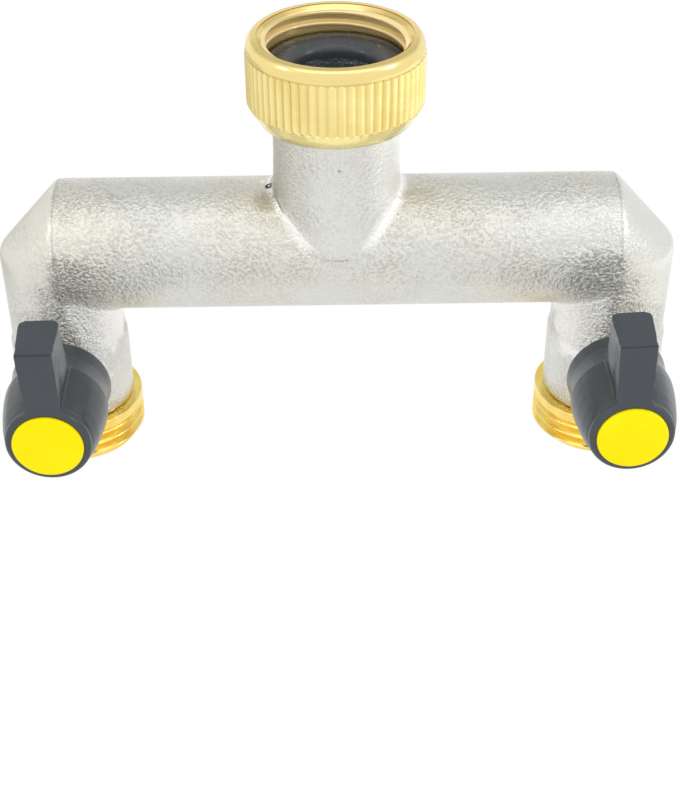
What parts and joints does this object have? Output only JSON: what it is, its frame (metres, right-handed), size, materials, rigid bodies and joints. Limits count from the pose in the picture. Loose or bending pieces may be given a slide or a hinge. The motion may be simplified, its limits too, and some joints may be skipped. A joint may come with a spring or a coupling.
{
  "type": "hose splitter",
  "caption": "Garden hose splitter: a cast bar with a knurled swivel inlet nut on top and quarter-turn ball valves with threaded outlets on its legs.",
  "frame": {"origin": "centre of the inlet at the outer end of its thread's crests, just inside the swivel nut's mouth", "axes": "+Z out of the inlet, +X along the bar from the left to the right outlet, the knobs face -Y"},
  "size_m": [0.1374, 0.0519, 0.0885],
  "materials": {
    "nickel_plate": "nickel plated cast brass, rough as cast with smoother machined sleeves",
    "bare_brass": "turned bare brass, satin",
    "chromed_brass": "polished",
    "stainless_steel": "drawn wire and turned screws",
    "charcoal_plastic": "moulded, semi-gloss charcoal",
    "yellow_plastic": "moulded, satin yellow",
    "black_rubber": "smooth black rubber",
    "ptfe": "white PTFE"
  },
  "bodies": {
    "manifold": {"manifold_casting": "nickel_plate", "nut_retaining_ring": "stainless_steel", "inlet_washer": "black_rubber", "left_outlet_nipple": "bare_brass", "left_nipple_o_ring": "black_rubber", "left_upper_seat": "ptfe", "left_lower_seat": "ptfe", "right_outlet_nipple": "bare_brass", "right_nipple_o_ring": "black_rubber", "right_upper_seat": "ptfe", "right_lower_seat": "ptfe"},
    "inlet_nut": {"swivel_nut": "bare_brass"},
    "left_rotor": {"left_ball": "chromed_brass", "left_stem": "bare_brass", "left_stem_thrust_washer": "ptfe", "left_stem_o_rings": "black_rubber", "left_knob": "charcoal_plastic", "left_knob_screw": "stainless_steel", "left_knob_screw_washer": "stainless_steel", "left_knob_cap": "yellow_plastic"},
    "right_rotor": {"right_ball": "chromed_brass", "right_stem": "bare_brass", "right_stem_thrust_washer": "ptfe", "right_stem_o_rings": "black_rubber", "right_knob": "charcoal_plastic", "right_knob_screw": "stainless_steel", "right_knob_screw_washer": "stainless_steel", "right_knob_cap": "yellow_plastic"}
  },
  "joints": [
    {"name": "nut_swivel", "type": "hinge", "parent": "manifold", "child": "inlet_nut", "pos_m": [0, 0, 0], "axis": [0, 0, 1], "continuous": true},
    {"name": "left_valve", "type": "hinge", "parent": "manifold", "child": "left_rotor", "pos_m": [-0.0552, 0, -0.06497], "axis": [0, 1, 0], "range_deg": [0, 90]},
    {"name": "right_valve", "type": "hinge", "parent": "manifold", "child": "right_rotor", "pos_m": [0.0552, 0, -0.06497], "axis": [0, 1, 0], "range_deg": [0, 90]}
  ]
}
